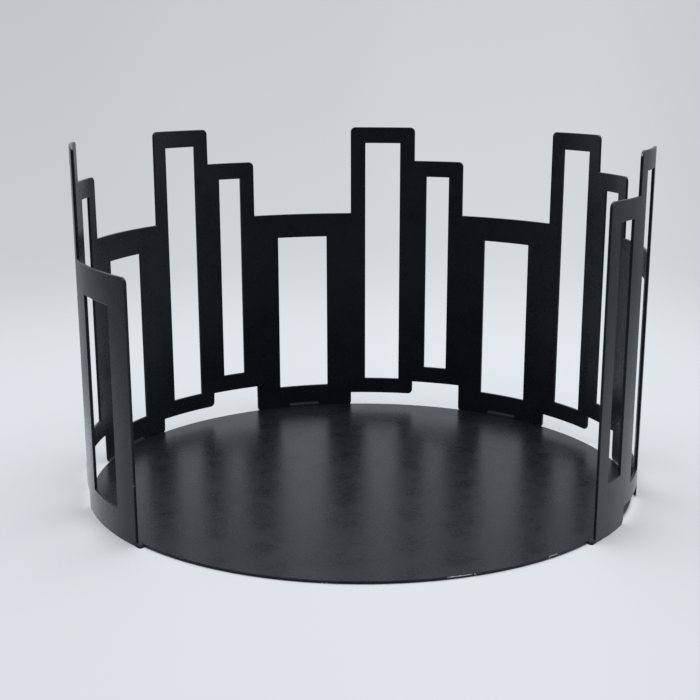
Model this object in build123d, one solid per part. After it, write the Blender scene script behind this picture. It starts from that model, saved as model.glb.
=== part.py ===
from build123d import *
import math
import os

# Round tabletop stand with an open front.
# One strip of sheet steel is cut to a skyline of windowed frames and rolled into an open ring.
# A flat round base lies inside the ring on the ground and is held by short welds.
# Millimetres, +Z up. The origin is the centre of the base's underside, and the open front faces -Y.
# Angles along the strip are bearings in degrees: 0 at the back (+Y), positive towards +X.

# Rolled strip
outer_diameter = 300.0
band_thickness = 1.5
repeats = 5

# Low frame, which stands on the ground and makes the feet
low_width = 64.5
low_height = 130.0
low_side_bar = 16.0
low_top_rail = 15.0
low_bottom_rail = 15.0

# Tall frame, lifted a little off the ground
tall_width = 41.5
tall_height = 185.0
tall_side_bar = 9.5
tall_top_rail = 10.0
tall_bottom_rail = 10.0
tall_lift = 9.0

# Middle frame, lifted most, whose bar beside the tall frame is the narrower one
middle_width = 32.3
middle_height = 164.0
middle_inner_bar = 8.0
middle_outer_bar = 9.3
middle_top_rail = 10.0
middle_bottom_rail = 10.5
middle_lift = 17.5

# Rounding of the corners that stick out, above and below, and the most of its step that a corner takes
corner_radius = 3.0
corner_step_share = 0.9

# Flat round base
base_thickness = 1.5
base_fit_gap = 1.0
base_edge_chamfer = 0.3

# Welds: a stitch inside each foot, and a low tack round the foot of each free end of the strip
stitch_length = 18.0
stitch_radius = 2.2
tack_reach = 3.2
tack_height = 2.3

# Sizes that follow from the ones above
outer_radius = outer_diameter / 2
inner_radius = outer_radius - band_thickness
mean_radius = outer_radius - band_thickness / 2
base_radius = inner_radius - base_fit_gap
repeat_width = low_width + tall_width + middle_width
strip_length = repeats * repeat_width


def bearing(distance):
    """Bearing of a point that lies this far along the strip from its left front end."""
    return math.degrees((distance - strip_length / 2) / mean_radius)


def frame_blocks():
    """Start, end, lower edge, top edge and window of every frame, in order along the strip."""
    blocks = []
    for index in range(repeats):
        start = index * repeat_width
        tall_start = start + low_width
        middle_start = tall_start + tall_width
        end = start + repeat_width
        # The last middle frame stands on the ground, because it is the foot of the free end
        last_lift = 0 if index == repeats - 1 else middle_lift
        low_window = (
            start + low_side_bar,
            tall_start - low_side_bar,
            low_bottom_rail,
            low_height - low_top_rail,
        )
        tall_window = (
            tall_start + tall_side_bar,
            middle_start - tall_side_bar,
            tall_lift + tall_bottom_rail,
            tall_height - tall_top_rail,
        )
        middle_window = (
            middle_start + middle_inner_bar,
            end - middle_outer_bar,
            middle_lift + middle_bottom_rail,
            middle_height - middle_top_rail,
        )
        blocks.append((start, tall_start, 0, low_height, low_window))
        blocks.append((tall_start, middle_start, tall_lift, tall_height, tall_window))
        blocks.append((middle_start, end, last_lift, middle_height, middle_window))
    return blocks


def ring_piece(start, end, bottom, top, inner, outer):
    """Piece of a ring between two places along the strip, two heights and two radii."""
    sweep = bearing(end) - bearing(start)
    section = Rot(X=90) * Rectangle(outer - inner, top - bottom)
    placed = Pos((inner + outer) / 2, 0, (bottom + top) / 2) * section
    return Rot(Z=90 - bearing(end)) * revolve(placed, Axis.Z, sweep)


def point_on_strip(distance, radius, height):
    """Point at this distance along the strip, at a radius and a height."""
    return Vector(radius, 0, height).rotate(Axis.Z, 90 - bearing(distance))


def outward_corners(blocks):
    """Place, height and step of the corners that stick out of the skyline and of the lower edge."""
    corners = []
    for index, (start, end, bottom, top, _) in enumerate(blocks):
        before = blocks[index - 1] if index > 0 else None
        after = blocks[index + 1] if index < len(blocks) - 1 else None
        for place, beside in ((start, before), (end, after)):
            top_beside = beside[3] if beside else bottom
            bottom_beside = beside[2] if beside else bottom
            if top > top_beside:
                corners.append((place, top, top - top_beside))
            if bottom < bottom_beside:
                corners.append((place, bottom, bottom_beside - bottom))
    return corners


def make_band():
    """The rolled strip: windowed frames side by side, with their outer corners rounded."""
    blocks = frame_blocks()
    band = Part() + [
        ring_piece(start, end, bottom, top, inner_radius, outer_radius)
        for start, end, bottom, top, _ in blocks
    ]
    for place, height, step in outward_corners(blocks):
        corner_edge = band.edges().sort_by_distance(point_on_strip(place, mean_radius, height))[0]
        band = fillet(corner_edge, min(corner_radius, corner_step_share * step))
    windows = [
        ring_piece(*window, inner_radius - band_thickness, outer_radius + band_thickness)
        for _, _, _, _, window in blocks
    ]
    return band - windows


def make_base():
    """The flat round base, with the burr taken off its rim above and below."""
    disc = Cylinder(base_radius, base_thickness, align=(Align.CENTER, Align.CENTER, Align.MIN))
    return chamfer(disc.edges().filter_by(GeomType.CIRCLE), base_edge_chamfer)


def make_stitch(centre):
    """Weld bead in the corner between the base and the strip, with round ends."""
    start = centre - stitch_length / 2
    end = centre + stitch_length / 2
    section = Pos(inner_radius, 0, base_thickness) * Rot(X=90) * Circle(stitch_radius)
    bead = Rot(Z=90 - bearing(end)) * revolve(section, Axis.Z, bearing(end) - bearing(start))
    for place in (start, end):
        bead += Pos(point_on_strip(place, inner_radius, base_thickness)) * Sphere(stitch_radius)
    corner = Pos(0, 0, base_thickness) * Cylinder(
        inner_radius, 2 * stitch_radius, align=(Align.CENTER, Align.CENTER, Align.MIN)
    )
    return bead & corner


def make_tack(end, band, base):
    """Flat domed weld tack at a free end, ground flush with the strip's outer face and with the ground."""
    dome_radius = (tack_reach**2 + tack_height**2) / (2 * tack_height)
    dome = Pos(point_on_strip(end, inner_radius, tack_height - dome_radius)) * Sphere(dome_radius)
    allowed = Cylinder(outer_radius, tack_height, align=(Align.CENTER, Align.CENTER, Align.MIN))
    return (dome & allowed) - band - base


def write_node(name, shape):
    shape.label = name
    export_step(shape, "parts/" + name + ".step")


os.makedirs("parts", exist_ok=True)
band = make_band()
base = make_base()
write_node("rolled_skyline_band", band)
write_node("base_disc", base)
for index in range(repeats):
    foot_middle = index * repeat_width + low_width / 2
    write_node("foot_weld_" + str(index + 1), make_stitch(foot_middle))
write_node("end_foot_weld", make_stitch(strip_length - middle_width / 2))
write_node("left_end_tack", make_tack(0, band, base))
write_node("right_end_tack", make_tack(strip_length, band, base))
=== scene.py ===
import bpy
import math
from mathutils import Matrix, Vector


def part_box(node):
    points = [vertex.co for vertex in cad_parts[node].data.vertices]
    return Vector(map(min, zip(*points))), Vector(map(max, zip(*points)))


# The looks of a round tabletop stand: satin black powder coat on sheet steel, bare at a few chips.
# Metres and degrees, unless a name or a comment says millimetres.
# Bearings run from the back of the stand (+Y) towards its right (+X).

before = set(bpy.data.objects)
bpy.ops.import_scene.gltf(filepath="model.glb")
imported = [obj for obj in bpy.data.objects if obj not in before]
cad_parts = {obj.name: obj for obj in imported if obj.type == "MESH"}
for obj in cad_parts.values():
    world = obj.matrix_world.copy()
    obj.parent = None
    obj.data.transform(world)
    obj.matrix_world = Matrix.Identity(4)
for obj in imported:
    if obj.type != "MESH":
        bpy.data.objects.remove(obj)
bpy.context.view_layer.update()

MM = 0.001
BAND = "rolled_skyline_band"
BASE = "base_disc"
WELDS = [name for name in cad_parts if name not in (BAND, BASE)]

_, band_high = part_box(BAND)
_, base_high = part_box(BASE)
OUTER_RADIUS = band_high.x
BAND_TOP = band_high.z
BASE_RADIUS = base_high.x

# Camera: a little above the stand, looking down into its open front
CAMERA_BEARING = 181.2325
CAMERA_DISTANCE = 0.64908
CAMERA_HEIGHT = 0.22284
CAMERA_AIM_BEARING = 1.496
CAMERA_DOWN = 14.204
CAMERA_ROLL = 0.132
CAMERA_LENS_MM = 62.73
CAMERA_SHIFT = (-0.0258, 0.0359)
CAMERA_CLIP = (0.01, 50)
SENSOR_MM = 36.0

# Softbox: square, high up and a little behind the stand
LAMP_BEARING = 0
LAMP_DISTANCE = 0.35
LAMP_HEIGHT = 1.5
LAMP_SIZE = 2.0
LAMP_WATTS = 21

# Floor: pale paper that lets a share of the backdrop through, the first near the stand's axis and the second
# far from it, and at least the last one in reflections
FLOOR_RADIUS = 6.0
FLOOR_SIDES = 64
FLOOR_COLOUR = (0.770, 0.805, 0.832, 1)
FLOOR_ROUGHNESS = 0.9
FLOOR_SPECULAR = 0.1
MELT_DISTANCES = (0.22, 0.80)
BACKDROP_SHARES = (0.30, 1.0)
BACKDROP_SHARE_REFLECTED = 0.8

# Grey levels as (upward part of a direction, level) stops: what the camera sees behind the stand, what the
# coat reflects, and the soft light from all round
BACKDROP = [(-0.28, 0.775), (-0.20, 0.690), (-0.14, 0.635), (0.04, 0.590)]
REFLECTED = [
    (-0.36, 0.72),
    (-0.30, 1.45),
    (-0.25, 0.46),
    (-0.20, 0.37),
    (-0.165, 0.34),
    (-0.11, 0.50),
    (-0.05, 0.52),
    (0.05, 0.68),
    (0.75, 0.75),
]
SOFT_LIGHT = [(0.0, 0.06), (0.30, 0.26), (1.0, 0.62)]

# Shares of the first two as (bearing, share) stops: the backdrop is a little paler right of the middle, and
# what the coat reflects is dim in front of the stand
BACKDROP_AROUND = [
    (-180, 1.0),
    (-16, 0.96),
    (-12, 0.97),
    (-7, 1.02),
    (0, 1.04),
    (3, 1.08),
    (12, 1.09),
    (17, 1.0),
    (180, 1.0),
]
REFLECTED_AROUND = [
    (-180, 0.17),
    (-140, 0.17),
    (-110, 0.27),
    (-90, 0.46),
    (-60, 0.76),
    (-46, 0.87),
    (-34, 1.10),
    (-10, 0.85),
    (48, 0.64),
    (60, 0.82),
    (72, 1.04),
    (90, 0.85),
    (120, 0.48),
    (150, 0.17),
    (180, 0.17),
]

# Cool tints of the levels
BACKDROP_TINT = (0.955, 1.003, 1.043)
REFLECTED_TINT = (0.915, 1.0, 1.075)

# Powder coat: colours, and roughness from its smoothest to its roughest places
COAT_DARK = (0.0074, 0.0104, 0.0135, 1)
COAT_PALE = (0.0135, 0.0175, 0.0210, 1)
COAT_GLOSS = (0.24, 0.32)
COAT_SPECULAR = 0.35
# Rounded edges: a paler, glossier copy of the coat, which paints a highlight along them
EDGE_HIGHLIGHT_DARK = (0.0130, 0.0160, 0.0185, 1)
EDGE_HIGHLIGHT_PALE = (0.0420, 0.0475, 0.0520, 1)
EDGE_GLOSS = (0.18, 0.26)
WELD_GLOSS = (0.50, 0.60)

# Clouds with a share of finer mottle, in cells per metre, and the ranges of their sum over which the colour
# turns pale and the coat turns rough
CLOUD_CELLS = 60.0
MOTTLE_CELLS = 420.0
MOTTLE_SHARE = 0.6
PALE_RANGE = (0.55, 1.0)
ROUGH_RANGE = (0.5, 1.1)

# Relief: orange peel with a share of finer grain, in cells per metre
PEEL_CELLS = 620.0
GRAIN_CELLS = 2600.0
GRAIN_SHARE = 0.45
RELIEF_DEPTH = 0.08 * MM
RELIEF_STRENGTH = 0.4

# Ripples of a weld
RIPPLE_CELLS = 330.0
RIPPLE_DISTORTION = 3.0
RIPPLE_SHARE = 0.3

# Chips: bare steel with a ragged, slightly soft outline, and the degrees that one with no end spans
BARE_STEEL = (0.60, 0.62, 0.64, 1)
BARE_ROUGHNESS = 0.5
BARE_METALLIC = 0.35
CHIP_RAGGED_CELLS = 1500.0
CHIP_RAGGED_REACH = 0.9 * MM
CHIP_SOFTNESS = 0.1
CHIP_SPAN = 0.05

# Rounding of the band's cut edges, and the material slot that it takes, which holds the painted edge
# highlight
EDGE_ROUNDING = 0.3 * MM
EDGE_SEGMENTS = 3
EDGE_ANGLE = 40
EDGE_SLOT = 1
FACET_ANGLE = 1
JOIN_DISTANCE = 0.002 * MM
FLAT_FACE_WEIGHT = 80


def at_bearing(bearing, radius, height):
    """Point at a bearing, a distance from the axis and a height."""
    angle = math.radians(bearing)
    return Vector((radius * math.sin(angle), radius * math.cos(angle), height))


def chip(bearing, radius, height, half_width, bare, end=None):
    """Chip at a bearing and height, or scratch from there to an end's bearing and height.

    Heights and the half width are in millimetres, and bare is the share of steel that shows.
    """
    end_bearing, end_height = end or (bearing + CHIP_SPAN, height)
    start_point = at_bearing(bearing, radius, height * MM)
    end_point = at_bearing(end_bearing, radius, end_height * MM)
    return start_point, end_point, half_width * MM, bare


BAND_MARKS = [
    chip(-107.75, OUTER_RADIUS - 0.75 * MM, 183.8, 0.5, 0.35, (-107.45, 184.4)),
    chip(120.3, OUTER_RADIUS - 0.95 * MM, 182.9, 0.5, 1.0, (120.25, 183.3)),
    chip(-132.65, OUTER_RADIUS, 30.6, 0.45, 0.25),
    chip(-115.9, OUTER_RADIUS, 89.5, 0.3, 0.3),
]
BASE_MARKS = [
    chip(-171.8, BASE_RADIUS, 0.25, 0.35, 0.9),
    chip(-172.6, BASE_RADIUS, 0.25, 0.4, 0.9),
    chip(166.2, BASE_RADIUS, 1.3, 0.22, 0.8, (161.7, 1.3)),
    chip(161.1, BASE_RADIUS, 1.3, 0.4, 0.7),
    chip(160.8, BASE_RADIUS, 0.6, 0.3, 0.6),
    chip(161.3, BASE_RADIUS, 0.2, 0.25, 0.6),
    chip(145.0, BASE_RADIUS, 0.3, 0.28, 0.6, (144.9, 1.6)),
    chip(144.8, BASE_RADIUS - 0.2 * MM, 1.5, 0.25, 0.6, (142.9, 1.5)),
]


def add(tree, kind, inputs=None, **settings):
    """New shader node with its settings, and its inputs set or linked by name or number."""
    node = tree.nodes.new(kind)
    for name, value in settings.items():
        setattr(node, name, value)
    for name, value in (inputs or {}).items():
        if isinstance(value, bpy.types.NodeSocket):
            tree.links.new(value, node.inputs[name])
        else:
            node.inputs[name].default_value = value
    return node


def math_node(tree, operation, first, second=0.0, clamp=False):
    """Result of an operation on two numbers."""
    node = add(tree, "ShaderNodeMath", {0: first, 1: second}, operation=operation, use_clamp=clamp)
    return node.outputs["Value"]


def plus_share(tree, value, share, other):
    """A value plus a share of another."""
    node = add(tree, "ShaderNodeMath", {0: other, 1: share, 2: value}, operation="MULTIPLY_ADD")
    return node.outputs["Value"]


def vector_node(tree, operation, first, second, output="Vector"):
    """Result of an operation on two vectors, as a vector or, from the output named Value, as a number."""
    node = add(tree, "ShaderNodeVectorMath", {0: first, 1: second}, operation=operation)
    return node.outputs[output]


def scale_vector(tree, vector, factor):
    """A vector times a number."""
    node = add(tree, "ShaderNodeVectorMath", {0: vector, "Scale": factor}, operation="SCALE")
    return node.outputs["Vector"]


def mix(tree, factor, first, second, data_type="FLOAT"):
    """Mix of two numbers or colours: the first at a factor of 0, the second at 1."""
    node = add(tree, "ShaderNodeMix", {"Factor": factor, "A": first, "B": second}, data_type=data_type)
    return node.outputs["Result"]


def mix_shaders(tree, factor, first, second):
    """Mix of two shaders: the first at a factor of 0, the second at 1."""
    node = add(tree, "ShaderNodeMixShader", {0: factor, 1: first, 2: second})
    return node.outputs["Shader"]


def remap(tree, value, low, high, to_low, to_high, interpolation="LINEAR"):
    """A value brought from one range to another, and kept inside it."""
    limits = {"From Min": low, "From Max": high, "To Min": to_low, "To Max": to_high}
    node = add(tree, "ShaderNodeMapRange", {"Value": value, **limits}, interpolation_type=interpolation)
    return node.outputs["Result"]


def noise(tree, position, cells, detail=3.0, output="Fac"):
    """Noise with this many cells per metre."""
    node = add(tree, "ShaderNodeTexNoise", {"Vector": position, "Scale": cells, "Detail": detail})
    return node.outputs[output]


def ramp(tree, factor, stops):
    """Colour ramp through (place, colour) stops."""
    node = add(tree, "ShaderNodeValToRGB", {"Fac": factor})
    elements = node.color_ramp.elements
    for place, colour in stops[1:-1]:
        elements.new(place).color = colour
    elements[0].position, elements[0].color = stops[0]
    elements[-1].position, elements[-1].color = stops[-1]
    return node.outputs["Color"]


def levels_by_height(tree, upward, levels, tint):
    """Tinted grey that follows the upward part of a direction, by (upward part, level) stops."""
    stops = [((place + 1) / 2, (*(share * level for share in tint), 1)) for place, level in levels]
    return ramp(tree, remap(tree, upward, -1.0, 1.0, 0.0, 1.0), stops)


def share_by_bearing(tree, direction_parts, shares):
    """Share that follows the bearing of a direction, by (bearing, share) stops."""
    bearing = math_node(tree, "ARCTAN2", direction_parts["X"], direction_parts["Y"])
    stops = [((place + 180) / 360, (share, share, share, 1)) for place, share in shares]
    return ramp(tree, remap(tree, bearing, -math.pi, math.pi, 0.0, 1.0), stops)


def bareness(tree, position, marks):
    """How bare the steel is: nothing away from the marks, and each mark's own share on it."""
    ragged = noise(tree, position, CHIP_RAGGED_CELLS, detail=2.0, output="Color")
    centred = vector_node(tree, "SUBTRACT", ragged, (0.5, 0.5, 0.5))
    place = vector_node(tree, "ADD", position, scale_vector(tree, centred, CHIP_RAGGED_REACH))
    most = 0.0
    for start, end, half_width, bare in marks:
        along = end - start
        from_start = vector_node(tree, "SUBTRACT", place, start)
        reach = vector_node(tree, "DOT_PRODUCT", from_start, along, "Value")
        share = math_node(tree, "DIVIDE", reach, along.length_squared, clamp=True)
        distance = vector_node(tree, "DISTANCE", from_start, scale_vector(tree, along, share), "Value")
        outside = (1 + CHIP_SOFTNESS) * half_width
        inside = (1 - CHIP_SOFTNESS) * half_width
        here = remap(tree, distance, outside, inside, 0.0, bare)
        most = math_node(tree, "MAXIMUM", here, most)
    return most


def powder_coat(name, dark=COAT_DARK, pale=COAT_PALE, gloss=COAT_GLOSS, marks=(), ripple=0.0):
    """Satin black powder coat with fine grain, a soft orange peel and cloudy variation.

    It is chipped to steel at the marks, and a weld's has ripples.
    """
    material = bpy.data.materials.new(name)
    material.use_nodes = True
    tree = material.node_tree
    shader = tree.nodes["Principled BSDF"]
    position = add(tree, "ShaderNodeTexCoord").outputs["Object"]
    clouds = noise(tree, position, CLOUD_CELLS, detail=4.0)
    mottle = noise(tree, position, MOTTLE_CELLS)
    variation = plus_share(tree, clouds, MOTTLE_SHARE, mottle)
    coat = ramp(tree, variation, list(zip(PALE_RANGE, (dark, pale))))
    roughness = remap(tree, variation, *ROUGH_RANGE, *gloss)
    grain = noise(tree, position, GRAIN_CELLS, detail=2.0)
    peel = noise(tree, position, PEEL_CELLS, detail=1.0)
    relief = plus_share(tree, peel, GRAIN_SHARE, grain)
    if ripple:
        rings = {"Vector": position, "Scale": RIPPLE_CELLS, "Distortion": RIPPLE_DISTORTION}
        wave = add(tree, "ShaderNodeTexWave", rings, wave_type="RINGS")
        relief = plus_share(tree, relief, ripple, wave.outputs["Fac"])
    if marks:
        bare = bareness(tree, position, marks)
        coat = mix(tree, bare, coat, BARE_STEEL, "RGBA")
        roughness = mix(tree, bare, roughness, BARE_ROUGHNESS)
        relief = math_node(tree, "SUBTRACT", relief, bare)
        metallic = math_node(tree, "MULTIPLY", bare, BARE_METALLIC)
        tree.links.new(metallic, shader.inputs["Metallic"])
    depth = {"Height": relief, "Strength": RELIEF_STRENGTH, "Distance": RELIEF_DEPTH}
    bump = add(tree, "ShaderNodeBump", depth)
    tree.links.new(bump.outputs["Normal"], shader.inputs["Normal"])
    tree.links.new(coat, shader.inputs["Base Color"])
    tree.links.new(roughness, shader.inputs["Roughness"])
    shader.inputs["Specular IOR Level"].default_value = COAT_SPECULAR
    return material


def dress(node_name, *materials):
    """Gives a node its finish and, where there are two, the second for its rounded edges; the band's second
    is a paler copy of its coat, a painted highlight along those edges.
    """
    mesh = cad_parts[node_name].data
    mesh.materials.clear()
    for material in materials:
        mesh.materials.append(material)


def round_edges(node_name):
    """Small rounding of a sheet's cut edges, which powder coat always has."""
    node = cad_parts[node_name]
    corners = node.modifiers.new("join_corners", "WELD")
    corners.merge_threshold = JOIN_DISTANCE
    facets = node.modifiers.new("join_facets", "DECIMATE")
    facets.decimate_type = "DISSOLVE"
    facets.angle_limit = math.radians(FACET_ANGLE)
    bevel = node.modifiers.new("coated_edges", "BEVEL")
    bevel.width = EDGE_ROUNDING
    bevel.segments = EDGE_SEGMENTS
    bevel.limit_method = "ANGLE"
    bevel.angle_limit = math.radians(EDGE_ANGLE)
    bevel.use_clamp_overlap = False
    bevel.material = EDGE_SLOT
    normals = node.modifiers.new("even_shading", "WEIGHTED_NORMAL")
    normals.weight = FLAT_FACE_WEIGHT


def make_camera():
    """Camera at the photograph's viewing angle, with a long lens."""
    data = bpy.data.cameras.new("camera")
    data.lens = CAMERA_LENS_MM
    data.sensor_width = SENSOR_MM
    data.shift_x, data.shift_y = CAMERA_SHIFT
    data.clip_start, data.clip_end = CAMERA_CLIP
    camera = bpy.data.objects.new("camera", data)
    bpy.context.scene.collection.objects.link(camera)
    camera.location = at_bearing(CAMERA_BEARING, CAMERA_DISTANCE, CAMERA_HEIGHT)
    camera.rotation_euler = (math.radians(90 - CAMERA_DOWN), 0, math.radians(-CAMERA_AIM_BEARING))
    camera.rotation_euler.rotate_axis("Z", math.radians(CAMERA_ROLL))
    bpy.context.scene.camera = camera


def floor_paper():
    """Pale paper that melts into the backdrop away from the stand."""
    material = bpy.data.materials.new("floor_paper")
    material.use_nodes = True
    tree = material.node_tree
    shader = tree.nodes["Principled BSDF"]
    shader.inputs["Base Color"].default_value = FLOOR_COLOUR
    shader.inputs["Roughness"].default_value = FLOOR_ROUGHNESS
    shader.inputs["Specular IOR Level"].default_value = FLOOR_SPECULAR
    position = add(tree, "ShaderNodeTexCoord").outputs["Object"]
    from_axis = vector_node(tree, "LENGTH", position, (0, 0, 0), "Value")
    share = remap(tree, from_axis, *MELT_DISTANCES, *BACKDROP_SHARES, "SMOOTHSTEP")
    glossy = add(tree, "ShaderNodeLightPath").outputs["Is Glossy Ray"]
    share_reflected = math_node(tree, "MULTIPLY", glossy, BACKDROP_SHARE_REFLECTED)
    clear = add(tree, "ShaderNodeBsdfTransparent")
    surface = mix_shaders(
        tree,
        math_node(tree, "MAXIMUM", share, share_reflected),
        shader.outputs["BSDF"],
        clear.outputs["BSDF"],
    )
    tree.links.new(surface, tree.nodes["Material Output"].inputs["Surface"])
    return material


def make_floor():
    """Round floor, level with the stand's feet."""
    mesh = bpy.data.meshes.new("floor")
    corners = [at_bearing(360 * index / FLOOR_SIDES, FLOOR_RADIUS, 0) for index in range(FLOOR_SIDES)]
    mesh.from_pydata(corners, [], [list(reversed(range(FLOOR_SIDES)))])
    mesh.materials.append(floor_paper())
    floor = bpy.data.objects.new("floor", mesh)
    bpy.context.scene.collection.objects.link(floor)


def make_world():
    """Pale backdrop for the camera, levels of their own for reflections, and a soft light from all round."""
    world = bpy.data.worlds.new("studio")
    bpy.context.scene.world = world
    world.use_nodes = True
    tree = world.node_tree
    direction = add(tree, "ShaderNodeTexCoord").outputs["Generated"]
    direction_parts = add(tree, "ShaderNodeSeparateXYZ", {"Vector": direction}).outputs
    upward = direction_parts["Z"]
    paths = add(tree, "ShaderNodeLightPath").outputs
    glossy = paths["Is Glossy Ray"]
    seen = math_node(tree, "MAXIMUM", paths["Is Camera Ray"], paths["Is Transmission Ray"])
    colour = mix(
        tree,
        glossy,
        levels_by_height(tree, upward, BACKDROP, BACKDROP_TINT),
        levels_by_height(tree, upward, REFLECTED, REFLECTED_TINT),
        "RGBA",
    )
    share = mix(
        tree,
        glossy,
        share_by_bearing(tree, direction_parts, BACKDROP_AROUND),
        share_by_bearing(tree, direction_parts, REFLECTED_AROUND),
        "RGBA",
    )
    soft_light = levels_by_height(tree, upward, SOFT_LIGHT, BACKDROP_TINT)
    surface = mix_shaders(
        tree,
        math_node(tree, "MAXIMUM", seen, glossy),
        add(tree, "ShaderNodeBackground", {"Color": soft_light}).outputs["Background"],
        add(tree, "ShaderNodeBackground", {"Color": colour, "Strength": share}).outputs["Background"],
    )
    tree.links.new(surface, tree.nodes["World Output"].inputs["Surface"])


def make_lamp():
    """Square softbox aimed at the middle of the stand, which the camera doesn't see."""
    data = bpy.data.lights.new("overhead", "AREA")
    data.shape = "SQUARE"
    data.size = LAMP_SIZE
    data.energy = LAMP_WATTS
    lamp = bpy.data.objects.new("overhead", data)
    bpy.context.scene.collection.objects.link(lamp)
    lamp.visible_camera = False
    lamp.location = at_bearing(LAMP_BEARING, LAMP_DISTANCE, LAMP_HEIGHT)
    aim = Vector((0, 0, BAND_TOP / 2)) - lamp.location
    lamp.rotation_euler = aim.to_track_quat("-Z", "Y").to_euler()


make_camera()
make_floor()
make_world()
make_lamp()

band_coat = powder_coat("band_coat", marks=BAND_MARKS)
# A paler copy of the coat for the band's rounded edges: a painted highlight
edge_highlight_coat = powder_coat("edge_highlight_coat", EDGE_HIGHLIGHT_DARK, EDGE_HIGHLIGHT_PALE, EDGE_GLOSS, BAND_MARKS)
base_coat = powder_coat("base_coat", marks=BASE_MARKS)
weld_coat = powder_coat("weld_coat", gloss=WELD_GLOSS, ripple=RIPPLE_SHARE)
dress(BAND, band_coat, edge_highlight_coat)
dress(BASE, base_coat)
for weld_name in WELDS:
    dress(weld_name, weld_coat)
round_edges(BAND)

bpy.context.scene.view_settings.view_transform = "Standard"
